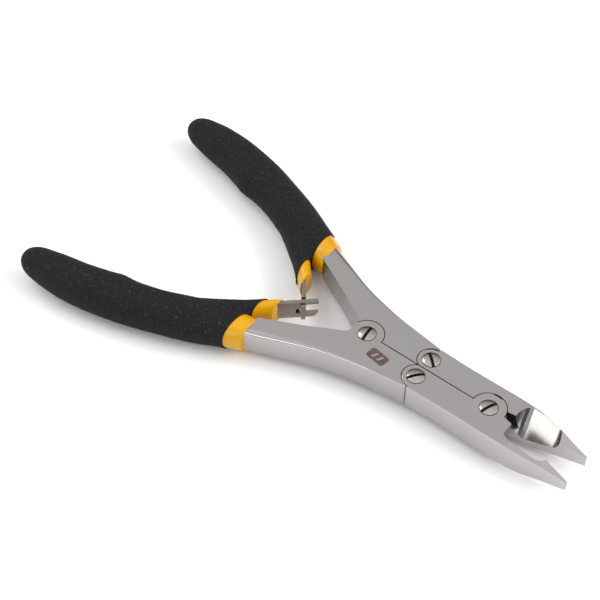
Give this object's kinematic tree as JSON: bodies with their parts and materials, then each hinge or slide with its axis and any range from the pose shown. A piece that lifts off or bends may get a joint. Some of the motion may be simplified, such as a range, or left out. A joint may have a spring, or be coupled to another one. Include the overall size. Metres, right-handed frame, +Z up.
{
  "type": "crimping pliers",
  "caption": "Compound-action hand pliers with lapped steel levers, short notched crimping jaws, hooked leaf return springs and foam-covered bent handles.",
  "frame": {"origin": "under the middle of the tool, on the surface that the grips lie on", "axes": "+X along the centre line to the jaw tips, +Y to the far handle, +Z up out of the lapped plates' screw-head face"},
  "size_m": [0.1651, 0.0822, 0.0124],
  "materials": {
    "steel": "satin ground stainless steel, fine grain, crisp edges",
    "screw_steel": "turned and polished steel screw heads",
    "spring_steel": "bright spring steel strip with a warm tint",
    "yellow_dip": "glossy yellow dipped vinyl",
    "black_foam": "matt black foam rubber with a fine pitted texture"
  },
  "bodies": {
    "near_handle": {"near_handle": "steel", "near_liner": "yellow_dip", "near_grip": "black_foam", "near_spring_tail": "spring_steel", "near_spring_rivet": "screw_steel", "rear_pivot_screw": "screw_steel"},
    "far_handle": {"far_handle": "steel", "far_liner": "yellow_dip", "far_grip": "black_foam", "far_spring_tail": "spring_steel", "far_spring_rivet": "screw_steel"},
    "near_jaw": {"near_jaw": "steel", "near_link_screw": "screw_steel", "jaw_pivot_screw": "screw_steel"},
    "far_jaw": {"far_jaw": "steel", "far_link_screw": "screw_steel"},
    "near_spring": {"near_return_spring": "spring_steel"},
    "far_spring": {"far_return_spring": "spring_steel"}
  },
  "joints": [
    {"name": "handle_pivot", "type": "hinge", "parent": "near_handle", "child": "far_handle", "pos_m": [0.01505, 0, 0.0062], "axis": [0, 0, 1], "range_deg": [0, 20.8], "stiffness_Nm_per_rad": 0.3, "springref_deg": -14.32},
    {"name": "near_jaw_pivot", "type": "hinge", "parent": "near_handle", "child": "near_jaw", "pos_m": [0.03405, -0.00355, 0.0062], "axis": [0, 0, 1], "range_deg": [0, 19.8]},
    {"name": "far_jaw_pivot", "type": "hinge", "parent": "far_handle", "child": "far_jaw", "pos_m": [0.03405, 0.00355, 0.0062], "axis": [0, 0, 1], "range_deg": [-19.8, 0]},
    {"name": "near_spring_flex", "type": "hinge", "parent": "near_handle", "child": "near_spring", "pos_m": [-0.01395, -0.008, 0.0062], "axis": [0, 0, 1], "range_deg": [-27.5, 0], "deforming": ["near_liner", "near_return_spring"]},
    {"name": "far_spring_flex", "type": "hinge", "parent": "far_handle", "child": "far_spring", "pos_m": [-0.01395, 0.008, 0.0062], "axis": [0, 0, 1], "range_deg": [0, 20.5], "deforming": ["far_liner", "far_return_spring"]}
  ],
  "couplings": [
    {"joint": "near_jaw_pivot", "follows": "handle_pivot", "ratio": 0.95085},
    {"joint": "far_jaw_pivot", "follows": "handle_pivot", "ratio": -0.95085},
    {"joint": "near_spring_flex", "follows": "handle_pivot", "ratio": -1.3},
    {"joint": "far_spring_flex", "follows": "handle_pivot", "ratio": 0.95}
  ]
}
